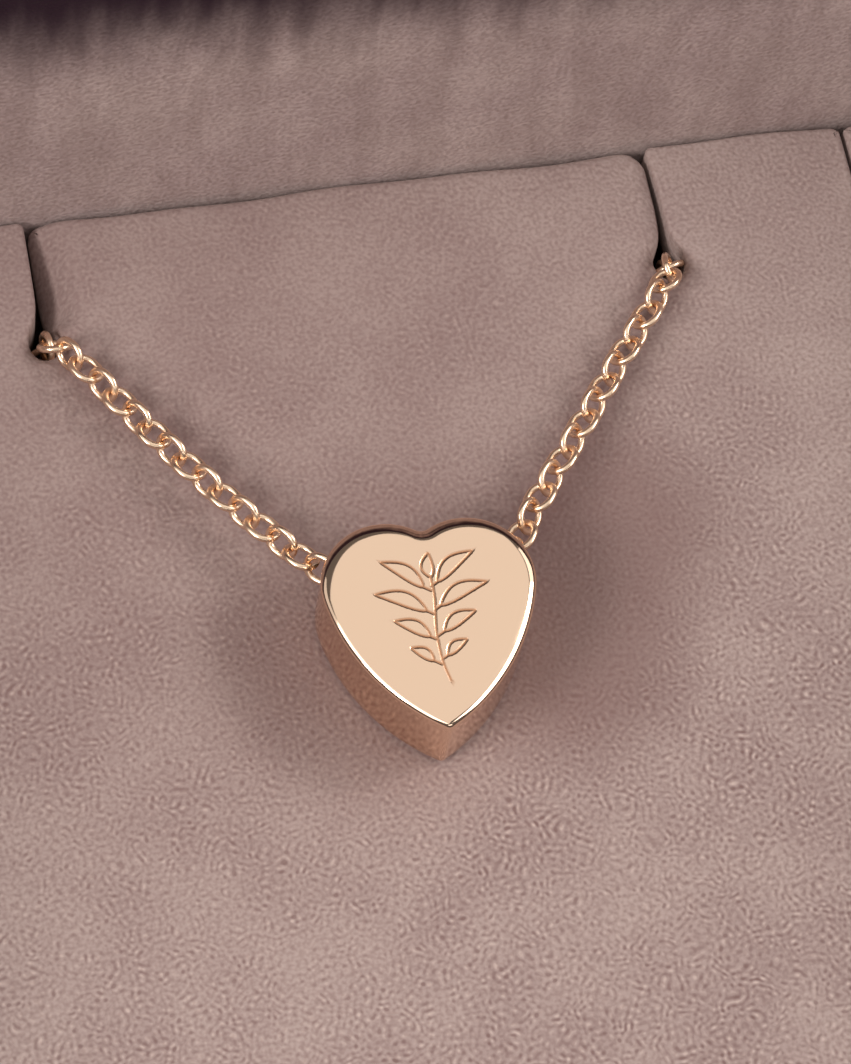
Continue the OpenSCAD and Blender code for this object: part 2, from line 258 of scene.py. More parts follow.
def box_cover():
    """Soft-touch book cloth, laminated and embossed with a fine leather grain."""
    material = bpy.data.materials.new("plum embossed cover cloth")
    material.use_nodes = True
    tree = material.node_tree
    place = add_node(tree, "ShaderNodeTexCoord", {}, {}).outputs["Object"]
    # leather grain 0.6 mm across
    grain = add_node(tree, "ShaderNodeTexVoronoi", {"feature": "DISTANCE_TO_EDGE"},
                     {"Vector": place, "Scale": 1 / (0.9 * MM)})
    groove = add_node(tree, "ShaderNodeMapRange", {"interpolation_type": "SMOOTHSTEP"},
                      {"Value": grain.outputs["Distance"], "From Max": 0.16})
    patina = add_node(tree, "ShaderNodeTexNoise", {},
                      {"Vector": place, "Scale": 1 / (14 * MM), "Detail": 4.0})
    tone = add_node(tree, "ShaderNodeMix", {"data_type": "RGBA"},
                    {"Factor_Float": patina.outputs["Fac"],
                     "A_Color": linear("#3E2B35"), "B_Color": linear("#4C3640")})
    shine = add_node(tree, "ShaderNodeMapRange", {},
                     {"Value": groove.outputs["Result"], "To Min": 0.75, "To Max": 0.5})
    bump = add_node(tree, "ShaderNodeBump", {},
                    {"Height": groove.outputs["Result"], "Strength": 0.5, "Distance": 0.05 * MM})
    shader = tree.nodes["Principled BSDF"]
    tree.links.new(tone.outputs["Result"], shader.inputs["Base Color"])
    tree.links.new(shine.outputs["Result"], shader.inputs["Roughness"])
    tree.links.new(bump.outputs["Normal"], shader.inputs["Normal"])
    return material


def round_square(width, corner, height, corner_steps=6, side_steps=36):
    """One ring of points round a square with round corners, counter-clockwise."""
    points = []
    for quarter in range(4):
        turn = Matrix.Rotation(quarter * math.pi / 2, 2)
        reach = width / 2 - corner
        for step in range(corner_steps + 1):
            a = math.pi / 2 * step / corner_steps
            points.append(turn @ Vector((reach + corner * math.cos(a), reach + corner * math.sin(a))))
        for step in range(1, side_steps):
            points.append(turn @ Vector((reach - 2 * reach * step / side_steps, width / 2)))
    return [(p.x, p.y, height) for p in points]


quarter_turn = np.radians(np.linspace(0, 90, 7))
wall_heights = np.linspace(0, 1, 13)
outside_rings = [(BOX_W - 2 * FOOT_ROUND * (1 - s), BOX_CORNER - FOOT_ROUND * (1 - s),
                  FOOT_ROUND * (1 - c))
                 for s, c in zip(np.sin(quarter_turn), np.cos(quarter_turn))]
outside_rings += [(BOX_W, BOX_CORNER, FOOT_ROUND + t * (BOX_H - RIM_ROUND - FOOT_ROUND))
                  for t in wall_heights[1:]]
outside_rings += [(BOX_W - 2 * RIM_ROUND * (1 - c), BOX_CORNER - RIM_ROUND * (1 - c),
                   BOX_H - RIM_ROUND * (1 - s))
                  for s, c in zip(np.sin(quarter_turn[1:]), np.cos(quarter_turn[1:]))]
inside_rings = [(INNER_W + 2 * RIM_ROUND * (1 - s), INNER_CORNER + RIM_ROUND * (1 - s),
                 BOX_H - RIM_ROUND * (1 - c))
                for s, c in zip(np.sin(quarter_turn), np.cos(quarter_turn))]
inside_rings += [(INNER_W, INNER_CORNER, BOX_H - RIM_ROUND - t * (BOX_H - RIM_ROUND - BOX_FLOOR))
                 for t in wall_heights[1:]]
box_rings = [round_square(*row) for row in outside_rings + inside_rings]
box_faces = bridge(box_rings)
# the dark plum top colour is shade painted near the rim of the lining
lining = suede("brushed mauve suede lining", "#B9A7A5", "#AE9B9B", "#78635F", (0.45, 0.45),
               upright=True, top="#2A1725")
box = add_mesh("box_shell", [p for ring in box_rings for p in ring], box_faces, [box_cover(), lining])
ring_count = len(box_rings[0])
for face in box.data.polygons:
    ring_index = face.vertices[0] // ring_count
    face.material_index = 1 if ring_index >= len(outside_rings) else 0
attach(box, "root")
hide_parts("box")

# Pad
# A board covered in the same suede, folded round its edges, that stands on a skirt. Two
# slits let the chain through, and the suede rolls down into them. The tab between them is
# pulled down by the chain, so its lips are the softest, most of all at the left.
PAD_W, PAD_EDGE, PAD_CORNER, BOARD_T = 116, 58.2, 1.5, 3
SKIRT_T, SKIRT_FOOT = 2.5, 3.1
SLIT_X, OUTER_SLIT_X, SLIT_L = 16.95, 28.2, 6.7
EDGE_LIP, EYELET_LIP = 0.7, 0.9
# each side of a slit: how far it lies from the slit's middle at a depth, then its
# shoulder's radius and its lip
LEFT_SLIT = {
    "outer": ([(1.0, 0.1), (2.5, 0.12), (4.0, 0.15), (5.0, 0.24), (5.7, 0.5), (6.25, 0.78)],
              0.35, 0.25),
    "tab": ([(1.0, 0.1), (2.5, 0.14), (4.0, 0.18), (5.0, 0.28), (5.7, 0.52), (6.25, 0.78)],
            0.6, 0.6),
    "end": (0.85, 1.1), "bow": 0.0}
RIGHT_SLIT = {
    "outer": ([(1.0, 0.1), (2.5, 0.12), (4.0, 0.14), (5.0, 0.22), (5.7, 0.48), (6.25, 0.76)],
              0.35, 0.25),
    "tab": ([(1.6, 0.1), (2.7, 0.12), (4.0, 0.16), (5.0, 0.26), (5.7, 0.5), (6.25, 0.76)],
            1.3, 1.2),
    "end": (0.85, 1.1), "bow": 0.15}
plain_side = ([(1.0, 0.12), (3.5, 0.13), (6.2, 0.13)], 0.5, 0.3)
OUTER_SLIT = {"outer": plain_side, "tab": plain_side, "end": (0.13, 0.15), "bow": 0.0}
# how far the chain pulls the tab's left edge down, and how far that spreads
TAB_PULL, TAB_PULL_W = 2.1, 1.25


def smooth_line(points, steps):
    """A smooth line through the points, with its ends kept."""
    p = np.asarray(points, float)
    padded = np.vstack([p[:1], p, p[-1:]])
    t = (np.arange(steps) / steps)[:, None]
    parts = []
    for a, b, c, d in zip(padded, padded[1:], padded[2:], padded[3:]):
        parts.append((2 * b + (c - a) * t + (2 * a - 5 * b + 4 * c - d) * t ** 2
                      + (3 * b - a - 3 * c + d) * t ** 3) / 2)
    return np.vstack(parts + [p[-1:]])


def arc(centre, radius, start, end, steps):
    """Points round an arc, angles in degrees, without its first point."""
    a = np.radians(np.linspace(start, end, steps + 1))[1:]
    return np.column_stack([centre[0] + radius * np.cos(a), centre[1] + radius * np.sin(a)])


def slit_side(slit, part, side):
    """One side of a slit, from its shoulder to the end, with each point's lip and lip limit."""
    rows, shoulder, lip = slit[part]
    wide, deep = slit["end"]
    centre = (side * (rows[0][1] + shoulder), PAD_EDGE - shoulder)
    turn = arc(centre, shoulder, 90, 90 + side * 90, 8)
    below = [(side * half, PAD_W / 2 - depth) for depth, half in rows[1:]]
    end = [(side * wide * math.cos(a), PAD_W / 2 - SLIT_L - deep * math.sin(a))
           for a in np.radians(np.linspace(0, 90, 7))]
    line = smooth_line([turn[-1]] + below + end, 6)[1:]
    points = np.vstack([[(side * (rows[0][1] + shoulder), PAD_EDGE)], turn, line])
    depth = np.clip((PAD_W / 2 - points[:, 1]) / SLIT_L, 0, 1)
    lips = np.where(depth >= 1, EYELET_LIP if wide > 0.5 else lip, lip)
    lips[:len(turn) + 1] = np.minimum(EDGE_LIP, 0.75 * shoulder)
    limits = np.where(np.arange(len(points)) <= len(turn), 0.8 * shoulder, 9.0)
    return np.column_stack([points[:, 0] + slit["bow"] * np.sin(math.pi * depth), points[:, 1],
                            lips, limits])


def slit_outline(x, slit, tab_side):
    """Outline of one slit, from its right shoulder down, round its end and up again."""
    right = slit_side(slit, "tab" if tab_side > 0 else "outer", 1)
    left = slit_side(slit, "outer" if tab_side > 0 else "tab", -1)
    return np.vstack([right, left[::-1][1:]]) + (x, 0, 0, 0)


def pad_outline():
    """The pad's outline, counter-clockwise, and how far its lip reaches in at each point."""
    half, r = PAD_W / 2, PAD_CORNER
    corners = [arc((x * (half - r), y), r, a, a + 90, 8)
               for x, y, a in ((-1, -(half - r), 180), (1, -(half - r), 270), (1, PAD_EDGE - r, 0),
                               (-1, PAD_EDGE - r, 90))]
    corners = [np.column_stack([c, np.full((len(c), 1), EDGE_LIP), np.full((len(c), 1), 1.2)])
               for c in corners]
    slits = [slit_outline(OUTER_SLIT_X, OUTER_SLIT, -1), slit_outline(SLIT_X, RIGHT_SLIT, -1),
             slit_outline(-SLIT_X, LEFT_SLIT, 1), slit_outline(-OUTER_SLIT_X, OUTER_SLIT, 1)]
    line = np.vstack(corners[:3] + slits + corners[3:])
    points = []
    for a, b in zip(line, np.roll(line, -1, axis=0)):
        near_slits = abs(a[0]) < 32 and a[1] > 48
        length = np.hypot(*(b - a)[:2])
        count = max(1, math.ceil(length / (0.5 if near_slits else 2.5)))
        points += [a + (b - a) * k / count for k in range(count)]
    points = np.array(points)
    lip = points[:, 2]
    for _ in range(14):
        lip = (np.roll(lip, 1) + 2 * lip + np.roll(lip, -1)) / 4
    lip = np.minimum(lip, points[:, 3])
    # the folded edge along the back isn't quite straight
    x, y = points[:, 0], points[:, 1]
    wave = 0.09 * np.sin(x / 3.1 + 1) + 0.05 * np.sin(x / 1.3 + 2)
    return np.column_stack([x, y + np.where(y > PAD_EDGE - 0.3, wave, 0)]), lip


def inward(line):
    """Unit vectors to the left of a closed counter-clockwise line."""
    along = np.roll(line, -1, axis=0) - np.roll(line, 1, axis=0)
    along /= np.linalg.norm(along, axis=1)[:, None]
    return np.column_stack([-along[:, 1], along[:, 0]])


def inside(points, ring):
    """Which points lie inside a closed ring."""
    x, y = points[:, 0][:, None], points[:, 1][:, None]
    x0, y0 = ring[:, 0][None], ring[:, 1][None]
    x1, y1 = np.roll(x0, -1), np.roll(y0, -1)
    crosses = (y0 > y) != (y1 > y)
    return ((x < (x1 - x0) * (y - y0) / np.where(y1 == y0, 1, y1 - y0) + x0) & crosses).sum(1) % 2 == 1


def gap_to(points, line):
    """Distance from each point to the nearest stretch of a line."""
    nearest = np.full(len(points), 1e9)
    for a, b in zip(line[:-1], line[1:]):
        d = b - a
        t = np.clip(((points - a) @ d) / max(d @ d, 1e-12), 0, 1)
        nearest = np.minimum(nearest, np.linalg.norm(points - a - t[:, None] * d, axis=1))
    return nearest


def fill(ring, extra):
    """Triangles that fill a ring and meet the extra points inside it."""
    points = [Vector(p) for p in np.vstack([ring, extra])]
    found, _, faces, origin, _, _ = delaunay_2d_cdt(points, [], [list(range(len(ring)))], 1, 1e-7)
    index = [min(o) if o else None for o in origin]
    return [tuple(index[v] for v in face) for face in faces if None not in [index[v] for v in face]]


def lattice(x0, x1, y0, y1, step):
    """Points in offset rows, a step apart."""
    rows = np.arange(y0, y1, step * math.sqrt(3) / 2)
    return np.array([(x, y) for k, y in enumerate(rows)
                     for x in np.arange(x0 + (k % 2) * step / 2, x1, step)])


def pad_dip(x, y):
    """How far the suede dips below the board's flat top, in soft waves."""
    waves = (np.sin(x / 5.3 + 0.7) * np.sin(y / 6.1 - 0.4) + np.sin(x / 9.7 - y / 8.3 + 1.9)) / 2
    # the chain pulls the tab's left edge down, below the suede beside it
    from_slit = x + SLIT_X
    rise = np.clip((y - PAD_W / 2 + SLIT_L - 0.1) / 1.5, 0, 1)
    fall = np.clip((y - PAD_W / 2 + 3.6) / 3.6, 0, 1)
    pull = rise ** 2 * (3 - 2 * rise) * (1 - 0.6 * fall) * np.exp(-(from_slit / TAB_PULL_W) ** 2)
    return -0.035 * (1 + waves) - np.where(from_slit > 0, TAB_PULL * pull, 0)


outline, lip = pad_outline()
normal = inward(outline)
lip_turn = np.radians(np.linspace(0, 90, 8))
pad_rings = [np.column_stack([outline, np.full(len(outline), PAD_TOP - BOARD_T)]),
             np.column_stack([outline, np.minimum(PAD_TOP - 1.6, PAD_TOP - 0.1 - 0.75 * lip
                                                  + pad_dip(outline[:, 0], outline[:, 1]))])]
for a in lip_turn:
    edge = outline + normal * (lip * (1 - math.cos(a)))[:, None]
    drop = lip * 0.75 * (1 - math.sin(a))
    pad_rings.append(np.column_stack([edge, PAD_TOP + pad_dip(edge[:, 0], edge[:, 1]) - drop]))
inner = pad_rings[-1][:, :2]
closed_inner = np.vstack([inner, inner[:1]])
fine = lattice(-34, 34, 44, 58, 0.6)
coarse = lattice(-57.5, 57.5, -57.5, 58, 2.4)
coarse = coarse[~((np.abs(coarse[:, 0]) < 35) & (coarse[:, 1] > 43.2))]
kept = []
for group, room in ((fine, 0.35), (coarse, 1.0)):
    group = group[inside(group, inner)]
    kept.append(group[gap_to(group, closed_inner) > room])
loose = np.vstack(kept)
top_faces = fill(inner, loose)
count = len(outline)
pad_points = [tuple(p) for ring in pad_rings for p in ring]
base = (len(pad_rings) - 1) * count
pad_points += [(x, y, PAD_TOP + pad_dip(x, y)) for x, y in loose]
pad_faces = bridge(pad_rings, (True, False)) + [tuple(base + i for i in f) for f in top_faces]
skirt_rings = [round_square(PAD_W, PAD_CORNER, PAD_TOP - BOARD_T),
               round_square(PAD_W - 2 * SKIRT_T, PAD_CORNER, PAD_TOP - BOARD_T),
               round_square(PAD_W - 2 * SKIRT_T, PAD_CORNER, SKIRT_FOOT),
               round_square(PAD_W, PAD_CORNER, SKIRT_FOOT)]
skirt_start = len(pad_points)
skirt_count = len(skirt_rings[0])
pad_points += [p for ring in skirt_rings for p in ring]
for i in range(skirt_count):
    after = (i + 1) % skirt_count
    for k in range(3):
        first = skirt_start + k * skirt_count
        pad_faces.append((first + after, first + i, first + i + skirt_count,
                          first + after + skirt_count))
    last = skirt_start + 3 * skirt_count
    pad_faces.append((skirt_start + i, skirt_start + after, last + after, last + i))
# the pad's marks are painted shadows: a broad shade over the back left of the pad, one round the heart,
# the heart's shadows at its right and its left, and the chain's shadows beside each of its sides
pad_suede = suede("brushed mauve suede pad", "#A69591", "#9B8986", "#6E5452", (0.8, 0.35),
                  painted_shadows=(((-11, 45, PAD_TOP), (-11, 45, PAD_TOP), 36, 0.3),
                        ((-1.1, 33, PAD_TOP), (-1.1, 33, PAD_TOP), 13, 0.22),
                        ((7, 29, PAD_TOP), (10.5, 36, PAD_TOP), 8, 0.62),
                        ((-8, 30, PAD_TOP), (-4, 26, PAD_TOP), 6, 0.25),
                        ((-16.4, 50.7, PAD_TOP), (-5.7, 36.8, PAD_TOP), 1.8, 0.4),
                        ((16.9, 50.7, PAD_TOP), (6.1, 36.8, PAD_TOP), 1.8, 0.4)))
pad = add_mesh("pad_cover", pad_points, pad_faces, [pad_suede])
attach(pad, "root")
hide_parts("pad")

# Chain
# Belcher chain: slightly long links of round wire, each soldered shut and standing square
# to the next, rose-gold plated. It lies along one line through both slits and the heart.
LINK_L, LINK_W, WIRE_D, LINK_PITCH = 2.05, 1.86, 0.37, 1.3
HEART_X, HEART_DROP, HEART_TURN = -1.1, 26.85, math.radians(-3.6)
HEART_T, CHANNEL_H, CHANNEL_TILT, CHANNEL_D = 4.9, 8.2, math.radians(20), 2.4
SEAT = 0.05
SLIT_Y = PAD_W / 2 - SLIT_L


def in_heart(x, y):
    """A place in the heart, from its tip, as seen from between the slits' ends."""
    return (HEART_X + x * math.cos(HEART_TURN) - y * math.sin(HEART_TURN),
            x * math.sin(HEART_TURN) + y * math.cos(HEART_TURN) - HEART_DROP,
            SEAT + HEART_T / 2)


def channel_point(x):
    """A place on the middle line of the heart's channel."""
    return in_heart(x, CHANNEL_H + abs(x) * math.tan(CHANNEL_TILT))


front_route = [
    (-SLIT_X, 0, -4.4), (-SLIT_X, 0, -3), (-SLIT_X, 0, -1.8), (-16.8, -0.3, -0.65),
    (-16.45, -0.9, 0.4), (-15.7, -2, 1), (-14.4, -4, 1.15), (-11.2, -8.9, 1.45),
    (-8.05, -13.25, 1.9), (-6.2, -15.6, 2.25), channel_point(-4.6), channel_point(-2.3),
    in_heart(0, CHANNEL_H + 0.25), channel_point(2.3), channel_point(4.6),
    (5.4, -15.4, 2.3), (6.9, -13.4, 2.1), (9.3, -10.4, 1.75), (12.2, -6.7, 1.35),
    (14.5, -3.9, 1.15), (15.9, -2.1, 0.95), (16.6, -0.95, 0.35), (16.9, -0.3, -0.65),
    (SLIT_X, 0, -1.8), (SLIT_X, 0, -3), (SLIT_X, 0, -4.4)]
front_line = smooth_line(front_route, 12) + np.array((0, SLIT_Y, PAD_TOP))
front_run = np.concatenate([[0], np.cumsum(np.linalg.norm(np.diff(front_line, axis=0), axis=1))])
front_count = int(front_run[-1] // LINK_PITCH)
front_start = (front_run[-1] - (front_count - 1) * LINK_PITCH) / 2


def on_line(line, distances):
    """Places at distances along a line."""
    run = np.concatenate([[0], np.cumsum(np.linalg.norm(np.diff(line, axis=0), axis=1))])
    return np.column_stack([np.interp(distances, run, line[:, axis]) for axis in range(3)])


def link_places(line, distances, first_up, twist):
    """Each link's middle, its direction and the normal of its ring, turned in turn."""
    ahead = on_line(line, distances + LINK_PITCH / 2) - on_line(line, distances - LINK_PITCH / 2)
    ahead /= np.linalg.norm(ahead, axis=1)[:, None]
    up = np.array(first_up, float)
    normals = []
    for index, along in enumerate(ahead):
        up = up - (up @ along) * along
        up /= np.linalg.norm(up)
        roll = math.radians((45 if index % 2 == 0 else -45) + twist[index])
        normals.append(up * math.cos(roll) + np.cross(along, up) * math.sin(roll))
    return on_line(line, distances), ahead, np.array(normals)


def link_tree():
    """Geometry nodes that put a ring at every point, along and across its attributes."""
    tree = bpy.data.node_groups.new("belcher links", "GeometryNodeTree")
    tree.interface.new_socket("Places", in_out="INPUT", socket_type="NodeSocketGeometry")
    for name, kind in (("Ring radius", "NodeSocketFloat"), ("Straight", "NodeSocketFloat"),
                       ("Wire radius", "NodeSocketFloat"),
                       ("Ring sides", "NodeSocketInt"), ("Wire sides", "NodeSocketInt"),
                       ("Play", "NodeSocketFloat"), ("Metal", "NodeSocketMaterial")):
        tree.interface.new_socket(name, in_out="INPUT", socket_type=kind)
    tree.interface.new_socket("Links", in_out="OUTPUT", socket_type="NodeSocketGeometry")
    given = add_node(tree, "NodeGroupInput", {}, {}).outputs
    points = add_node(tree, "GeometryNodeMeshToPoints", {}, {"Mesh": given["Places"]})
    along = add_node(tree, "GeometryNodeInputNamedAttribute", {"data_type": "FLOAT_VECTOR"},
                     {"Name": "along"})
    across = add_node(tree, "GeometryNodeInputNamedAttribute", {"data_type": "FLOAT_VECTOR"},
                      {"Name": "across"})
    facing = add_node(tree, "FunctionNodeAxesToRotation", {"primary_axis": "X", "secondary_axis": "Z"},
                      {"Primary Axis": along.outputs["Attribute"],
                       "Secondary Axis": across.outputs["Attribute"]})
    ring = add_node(tree, "GeometryNodeCurvePrimitiveCircle", {},
                    {"Resolution": given["Ring sides"], "Radius": given["Ring radius"]})
    # the two halves of the circle move apart, which leaves a straight piece at each side
    spot = add_node(tree, "GeometryNodeInputPosition", {}, {})
    spot_axes = add_node(tree, "ShaderNodeSeparateXYZ", {}, {"Vector": spot.outputs["Position"]})
    half_side = add_node(tree, "ShaderNodeMath", {"operation": "SIGN"},
                         {"Value": spot_axes.outputs["X"]})
    shift = add_node(tree, "ShaderNodeMath", {"operation": "MULTIPLY"},
                     {"Value": half_side.outputs["Value"], "Value_001": given["Straight"]})
    shift_along = add_node(tree, "ShaderNodeCombineXYZ", {}, {"X": shift.outputs["Value"]})
    stretched = add_node(tree, "GeometryNodeSetPosition", {},
                         {"Geometry": ring.outputs["Curve"], "Offset": shift_along.outputs["Vector"]})
    wire = add_node(tree, "GeometryNodeCurvePrimitiveCircle", {},
                    {"Resolution": given["Wire sides"], "Radius": given["Wire radius"]})
    link = add_node(tree, "GeometryNodeCurveToMesh", {},
                    {"Curve": stretched.outputs["Geometry"], "Profile Curve": wire.outputs["Curve"]})
    less = add_node(tree, "ShaderNodeMath", {"operation": "MULTIPLY"},
                    {"Value": given["Play"], "Value_001": -1.0})
    play = add_node(tree, "FunctionNodeRandomValue", {"data_type": "FLOAT"},
                    {"Min_001": less.outputs["Value"], "Max_001": given["Play"], "Seed": 7})
    lean = add_node(tree, "FunctionNodeAxisAngleToRotation", {},
                    {"Axis": (1.0, 0.0, 0.0), "Angle": play.outputs["Value"]})
    turned = add_node(tree, "FunctionNodeRotateRotation", {"rotation_space": "LOCAL"},
                      {"Rotation": facing.outputs["Rotation"], "Rotate By": lean.outputs["Rotation"]})
    placed = add_node(tree, "GeometryNodeInstanceOnPoints", {},
                      {"Points": points.outputs["Points"], "Instance": link.outputs["Mesh"],
                       "Rotation": turned.outputs["Rotation"]})
    real = add_node(tree, "GeometryNodeRealizeInstances", {}, {"Geometry": placed.outputs["Instances"]})
    smooth = add_node(tree, "GeometryNodeSetShadeSmooth", {}, {"Geometry": real.outputs["Geometry"]})
    painted = add_node(tree, "GeometryNodeSetMaterial", {},
                       {"Geometry": smooth.outputs["Geometry"], "Material": given["Metal"]})
    add_node(tree, "NodeGroupOutput", {}, {"Socket_8": painted.outputs["Geometry"]})
    return tree


def make_links(name, places, ahead, normals, sides, play, metal):
    """Runs the link nodes on a row of places and keeps the result as a plain mesh."""
    rail = add_mesh(name + "_rail", places, [], [])
    for attribute_name, values in (("along", ahead), ("across", normals)):
        attribute = rail.data.attributes.new(attribute_name, "FLOAT_VECTOR", "POINT")
        attribute.data.foreach_set("vector", np.asarray(values, np.float32).ravel())
    modifier = rail.modifiers.new("links", "NODES")
    modifier.node_group = link_nodes
    inputs = {item.name: item.identifier for item in link_nodes.interface.items_tree
              if item.in_out == "INPUT"}
    for input_name, value in (("Ring radius", (LINK_W - WIRE_D) / 2 * MM),
                              ("Straight", (LINK_L - LINK_W) / 2 * MM),
                              ("Wire radius", WIRE_D / 2 * MM),
                              ("Ring sides", sides[0]), ("Wire sides", sides[1]),
                              ("Play", math.radians(play)), ("Metal", metal)):
        modifier[inputs[input_name]] = value
    shown = rail.evaluated_get(bpy.context.evaluated_depsgraph_get())
    mesh = bpy.data.meshes.new_from_object(shown)
    mesh.name = name
    piece = bpy.data.objects.new(name, mesh)
    bpy.context.scene.collection.objects.link(piece)
    bpy.data.objects.remove(rail)
    return piece


def rose_gold(name, roughness, wave, wave_size, tint="#F7DAC0"):
    """Rose-gold plate over brass, buffed by hand: a mirror with a slight orange peel."""
    material = bpy.data.materials.new(name)
    material.use_nodes = True
    tree = material.node_tree
    place = add_node(tree, "ShaderNodeTexCoord", {}, {}).outputs["Object"]
    handling = add_node(tree, "ShaderNodeTexNoise", {},
                        {"Vector": place, "Scale": 1 / (1.6 * MM), "Detail": 3.0})
    shine = add_node(tree, "ShaderNodeMapRange", {},
                     {"Value": handling.outputs["Fac"], "From Min": 0.35, "From Max": 0.7,
                      "To Min": roughness * 0.8, "To Max": roughness * 1.3})
    peel = add_node(tree, "ShaderNodeTexNoise", {},
                    {"Vector": place, "Scale": 1 / (wave_size * MM), "Detail": 1.0})
    bump = add_node(tree, "ShaderNodeBump", {},
                    {"Height": peel.outputs["Fac"], "Strength": 1.0, "Distance": wave * MM})
    shader = tree.nodes["Principled BSDF"]
    shader.inputs["Base Color"].default_value = linear(tint)
    shader.inputs["Metallic"].default_value = 1.0
    tree.links.new(shine.outputs["Result"], shader.inputs["Roughness"])
    tree.links.new(bump.outputs["Normal"], shader.inputs["Normal"])
    return material


link_nodes = link_tree()
chain_gold = rose_gold("rose-gold plated chain wire", 0.27, 0.002, 0.5, "#F9DDC1")
front_distances = front_start + LINK_PITCH * np.arange(front_count)
# the left half of the row lies turned by 20 degrees and the right half by 10
front_twist = np.interp(np.arange(front_count) / (front_count - 1), (0.37, 0.6), (20, 10))
chain_front = make_links("chain_front_links",
                         *link_places(front_line, front_distances, (-0.54, 0.84, 0), front_twist),
                         (40, 14), 2, chain_gold)
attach(chain_front, "root")
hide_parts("chain_front")

# Hidden stretch of chain, and its clasp
# Under the pad the same chain drops to the box's floor and runs round the side to the
# clasp, which is a spring ring with an eye soldered to each side.
CLASP_D, EYE_D, EYE_WIRE = 5.5, 1.9, 0.45
SIDE_X, FRONT_Y = 8 - PAD_W / 2, 10.7 - PAD_W / 2
RUN_Z = LINK_W / 2 + 0.1
eye_end = CLASP_D / 2 + EYE_D - EYE_WIRE
back_route = [
    (-SLIT_X, SLIT_Y, 10.2), (-SLIT_X, SLIT_Y, 9.15), (-SLIT_X, SLIT_Y, 6.5),
    (-SLIT_X - 0.7, SLIT_Y - 0.1, 3.6), (-SLIT_X - 3.6, SLIT_Y - 0.5, 1.6),
    (-SLIT_X - 9, SLIT_Y - 1.1, RUN_Z), (SIDE_X + 16, SLIT_Y - 1.5, RUN_Z),
    (SIDE_X + 8, SLIT_Y - 2.7, RUN_Z), (SIDE_X + 2.4, SLIT_Y - 7.3, RUN_Z),
    (SIDE_X + 0.4, SLIT_Y - 15.3, RUN_Z), (SIDE_X, SLIT_Y - 27, RUN_Z), (SIDE_X, 8, RUN_Z),
    (SIDE_X, -8, RUN_Z), (SIDE_X, FRONT_Y + 26, RUN_Z), (SIDE_X + 0.4, FRONT_Y + 14, RUN_Z),
    (SIDE_X + 2.4, FRONT_Y + 6, RUN_Z), (SIDE_X + 8, FRONT_Y + 1.4, RUN_Z),
    (SIDE_X + 16, FRONT_Y + 0.2, RUN_Z), (SIDE_X + 28, FRONT_Y, RUN_Z),
    (-12, FRONT_Y, RUN_Z), (-eye_end - 0.25, FRONT_Y, RUN_Z)]
back_line = smooth_line(back_route, 8) + np.array((0, 0, BOX_FLOOR))
back_length = np.linalg.norm(np.diff(back_line, axis=0), axis=1).sum()
# the first hidden link holds the last one that shows
first_gap = back_line[0, 2] - (on_line(front_line, front_distances[:1])[0, 2] - LINK_PITCH)
back_count = round((back_length - first_gap) / LINK_PITCH)
back_distances = first_gap + (back_length - first_gap) / back_count * np.arange(back_count + 1)
left = link_places(back_line, back_distances, (1, 0, 0), np.zeros(back_count + 1))
flip = np.array((-1, 1, 1))
both = [np.vstack([part, part * flip]) for part in left]
both[2][len(left[2]):] = left[2] * flip
chain_back = make_links("chain_back_links", *both, (16, 8), 0, chain_gold)
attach(chain_back, "root")
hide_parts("chain_back")

clasp_gold = rose_gold("rose-gold plated clasp", 0.12, 0.004, 1.2)
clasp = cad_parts["clasp"]
clasp.data.materials.clear()
clasp.data.materials.append(clasp_gold)

# Heart
# A solid heart, cast and then polished by hand. Its face is almost flat with a soft edge,
# its walls are straight, and a channel is drilled through both lobes for the chain. The
# face is engraved with a leaf spray, cut with a round graver.
HEART_W, LOBE_R, LOBE_H, SIDE_R, CLEFT_R, TIP_R = 10.9, 3.4, 8.0, 11.0, 0.6, 0.35
FACE_ROLL_W, FACE_ROLL_H, BACK_R = 0.9, 0.4, 0.4
FACE_CROWN, CROWN_HALF = 0.05, (4.6, 5.6)
STROKE_HALF, STROKE_DEPTH = 0.11, 0.035

lobe_c = np.array((HEART_W / 2 - LOBE_R, LOBE_H))
cleft_c = np.array((0, LOBE_H + math.sqrt((LOBE_R + CLEFT_R) ** 2 - lobe_c[0] ** 2)))
side_gain = SIDE_R - LOBE_R
lobe_reach = np.hypot(*lobe_c)
side_swing = math.degrees(math.atan2(lobe_c[0], lobe_c[1]) + math.asin(
    (SIDE_R ** 2 - lobe_reach ** 2 - side_gain ** 2) / (2 * side_gain * lobe_reach)))
side_c = lobe_c + side_gain * np.array((-math.cos(math.radians(side_swing)),
                                        math.sin(math.radians(side_swing))))
cleft_join = math.degrees(math.atan2(*(lobe_c - cleft_c)[::-1]))
heart_hub = np.array((0, LOBE_H - LOBE_R / 2))


def heart_outline(inset):
    """The heart's outline from its tip, counter-clockwise, shrunk by an inset."""
    tip_r = max(TIP_R - inset, 0.02)
    reach = SIDE_R - inset - tip_r
    tip_c = np.array((0, side_c[1] - math.sqrt(reach ** 2 - side_c[0] ** 2)))
    join = math.degrees(math.atan2(*(tip_c - side_c)[::-1]))
    half = np.vstack([arc(cleft_c, CLEFT_R + inset, -90, cleft_join, 12),
                      arc(lobe_c, LOBE_R - inset, cleft_join + 180, -side_swing, 84),
                      arc(side_c, SIDE_R - inset, -side_swing, join, 60),
                      arc(tip_c, tip_r, join, -90, 8)[:-1]])
    tip = [(0, tip_c[1] - tip_r)]
    cleft = [(0, cleft_c[1] - CLEFT_R - inset)]
    return np.vstack([tip, half[::-1], cleft, half * (-1, 1)])


def crown(x, y):
    """Height of the face's very slight dome above the end of its soft edge."""
    across = np.hypot((x - heart_hub[0]) / CROWN_HALF[0], (y - heart_hub[1]) / CROWN_HALF[1])
    return FACE_CROWN * np.clip(1 - across ** 2, 0, 1)


